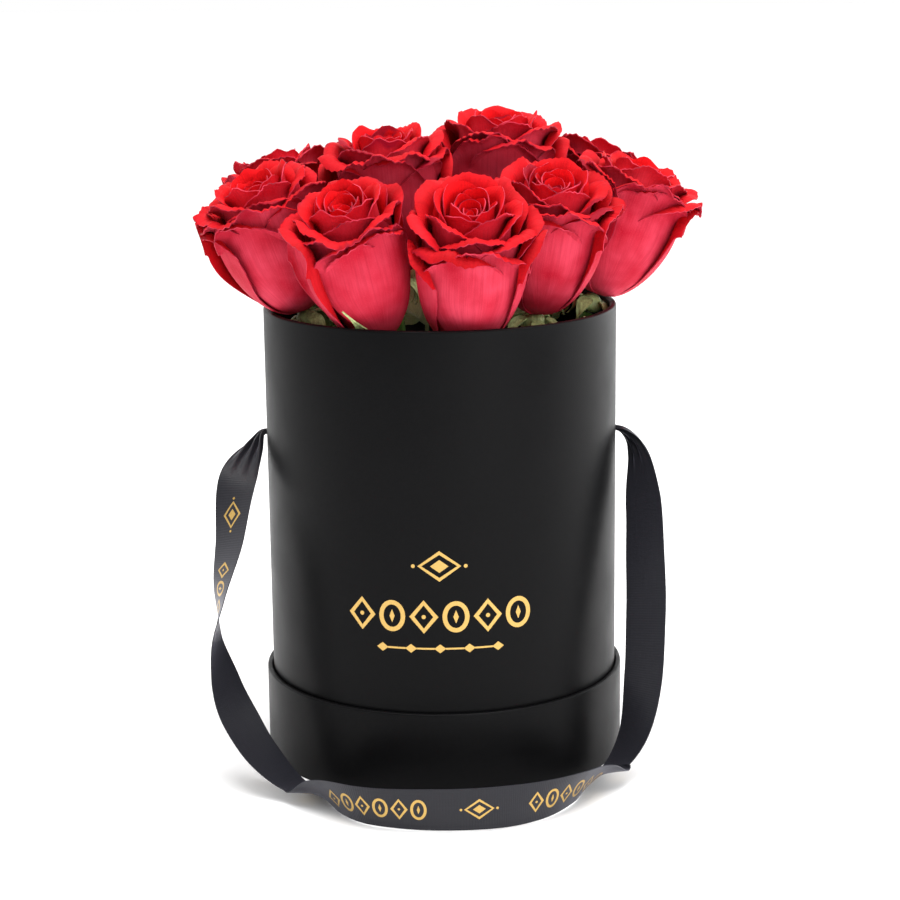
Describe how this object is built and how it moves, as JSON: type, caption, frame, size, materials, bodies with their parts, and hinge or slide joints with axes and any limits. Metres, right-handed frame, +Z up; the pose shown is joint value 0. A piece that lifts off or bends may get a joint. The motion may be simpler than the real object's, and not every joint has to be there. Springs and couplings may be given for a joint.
{
  "type": "flower box",
  "caption": "Round black flower box: a paper-wrapped board tube in a shallow tray, with a satin ribbon handle and a dome of red roses set in floral foam.",
  "frame": {"origin": "on the tube's axis, on the underside of the tray, where the box stands", "axes": "+Z up along the tube; -Y is the front, where the ribbon handle lies and the foil ornament faces; +X to the right seen from the front"},
  "size_m": [0.2176, 0.2245, 0.2897],
  "materials": {
    "black_paper": "soft-touch laminated black paper, satin-matt, smooth",
    "grey_board": "raw grey chipboard, matt",
    "lining_paper": "uncoated black lining paper, matt",
    "liner_film": "clear cellophane, glossy and creased",
    "floral_foam": "soaked green floral foam, matt and fine-celled",
    "satin_ribbon": "black polyester satin, glossy along the warp, with gold foil ornament on one face",
    "rose_petal": "velvety red petal, deeper and pinker on the back, fine veins",
    "rose_calyx": "fresh green sepals and hip, satin",
    "rose_stem": "fresh green stem, satin",
    "leaf": "pale yellow-green leaf underside, veined, satin"
  },
  "bodies": {
    "tray": {"tray_floor": "grey_board", "tray_wall": "grey_board", "tray_wrap": "black_paper"},
    "box": {"box_tube": "grey_board", "box_wrap": "black_paper", "box_lining": "lining_paper", "box_floor": "grey_board"},
    "insert": {"liner_film": "liner_film", "foam_lower": "floral_foam", "foam_upper": "floral_foam", "leaf_1": "leaf", "leaf_2": "leaf", "leaf_3": "leaf", "leaf_4": "leaf", "leaf_5": "leaf", "leaf_6": "leaf", "leaf_7": "leaf", "leaf_8": "leaf"},
    "handle": {"ribbon_handle": "satin_ribbon", "knot_left": "satin_ribbon", "knot_right": "satin_ribbon"},
    "rose_1": {"rose_1_head": "rose_petal", "rose_1_calyx": "rose_calyx", "rose_1_stem": "rose_stem"},
    "rose_2": {"rose_2_head": "rose_petal", "rose_2_calyx": "rose_calyx", "rose_2_stem": "rose_stem"},
    "rose_3": {"rose_3_head": "rose_petal", "rose_3_calyx": "rose_calyx", "rose_3_stem": "rose_stem"},
    "rose_4": {"rose_4_head": "rose_petal", "rose_4_calyx": "rose_calyx", "rose_4_stem": "rose_stem"},
    "rose_5": {"rose_5_head": "rose_petal", "rose_5_calyx": "rose_calyx", "rose_5_stem": "rose_stem"},
    "rose_6": {"rose_6_head": "rose_petal", "rose_6_calyx": "rose_calyx", "rose_6_stem": "rose_stem"},
    "rose_7": {"rose_7_head": "rose_petal", "rose_7_calyx": "rose_calyx", "rose_7_stem": "rose_stem"},
    "rose_8": {"rose_8_head": "rose_petal", "rose_8_calyx": "rose_calyx", "rose_8_stem": "rose_stem"},
    "rose_9": {"rose_9_head": "rose_petal", "rose_9_calyx": "rose_calyx", "rose_9_stem": "rose_stem"},
    "rose_10": {"rose_10_head": "rose_petal", "rose_10_calyx": "rose_calyx", "rose_10_stem": "rose_stem"},
    "rose_11": {"rose_11_head": "rose_petal", "rose_11_calyx": "rose_calyx", "rose_11_stem": "rose_stem"}
  },
  "joints": [
    {"name": "box_lift", "type": "slide", "parent": "tray", "child": "box", "axis": [0, 0, 1], "range_m": [0, 0.042]},
    {"name": "insert_lift", "type": "slide", "parent": "box", "child": "insert", "axis": [0, 0, 1], "range_m": [0, 0.205]},
    {"name": "handle_swing", "type": "hinge", "parent": "box", "child": "handle", "pos_m": [0, 0, 0.1491], "axis": [-1, 0, 0], "range_deg": [0, 88]},
    {"name": "rose_1_pull", "type": "slide", "parent": "insert", "child": "rose_1", "axis": [-0.3304, -0.0885, 0.9397], "range_m": [0, 0.031]},
    {"name": "rose_2_pull", "type": "slide", "parent": "insert", "child": "rose_2", "axis": [-0.2147, -0.2223, 0.9511], "range_m": [0, 0.031]},
    {"name": "rose_3_pull", "type": "slide", "parent": "insert", "child": "rose_3", "axis": [0.043, -0.306, 0.9511], "range_m": [0, 0.031]},
    {"name": "rose_4_pull", "type": "slide", "parent": "insert", "child": "rose_4", "axis": [0.1388, -0.1982, 0.9703], "range_m": [0, 0.031]},
    {"name": "rose_5_pull", "type": "slide", "parent": "insert", "child": "rose_5", "axis": [0.357, 0.0312, 0.9336], "range_m": [0, 0.031]},
    {"name": "rose_6_pull", "type": "slide", "parent": "insert", "child": "rose_6", "axis": [-0.2962, 0.171, 0.9397], "range_m": [0, 0.031]},
    {"name": "rose_7_pull", "type": "slide", "parent": "insert", "child": "rose_7", "axis": [-0.0687, -0.0121, 0.9976], "range_m": [0, 0.031]},
    {"name": "rose_8_pull", "type": "slide", "parent": "insert", "child": "rose_8", "axis": [0.0262, 0.0453, 0.9986], "range_m": [0, 0.031]},
    {"name": "rose_9_pull", "type": "slide", "parent": "insert", "child": "rose_9", "axis": [0.3079, 0.2406, 0.9205], "range_m": [0, 0.031]},
    {"name": "rose_10_pull", "type": "slide", "parent": "insert", "child": "rose_10", "axis": [-0.0879, 0.1884, 0.9781], "range_m": [0, 0.031]},
    {"name": "rose_11_pull", "type": "slide", "parent": "insert", "child": "rose_11", "axis": [0.0449, 0.2549, 0.9659], "range_m": [0, 0.031]}
  ]
}
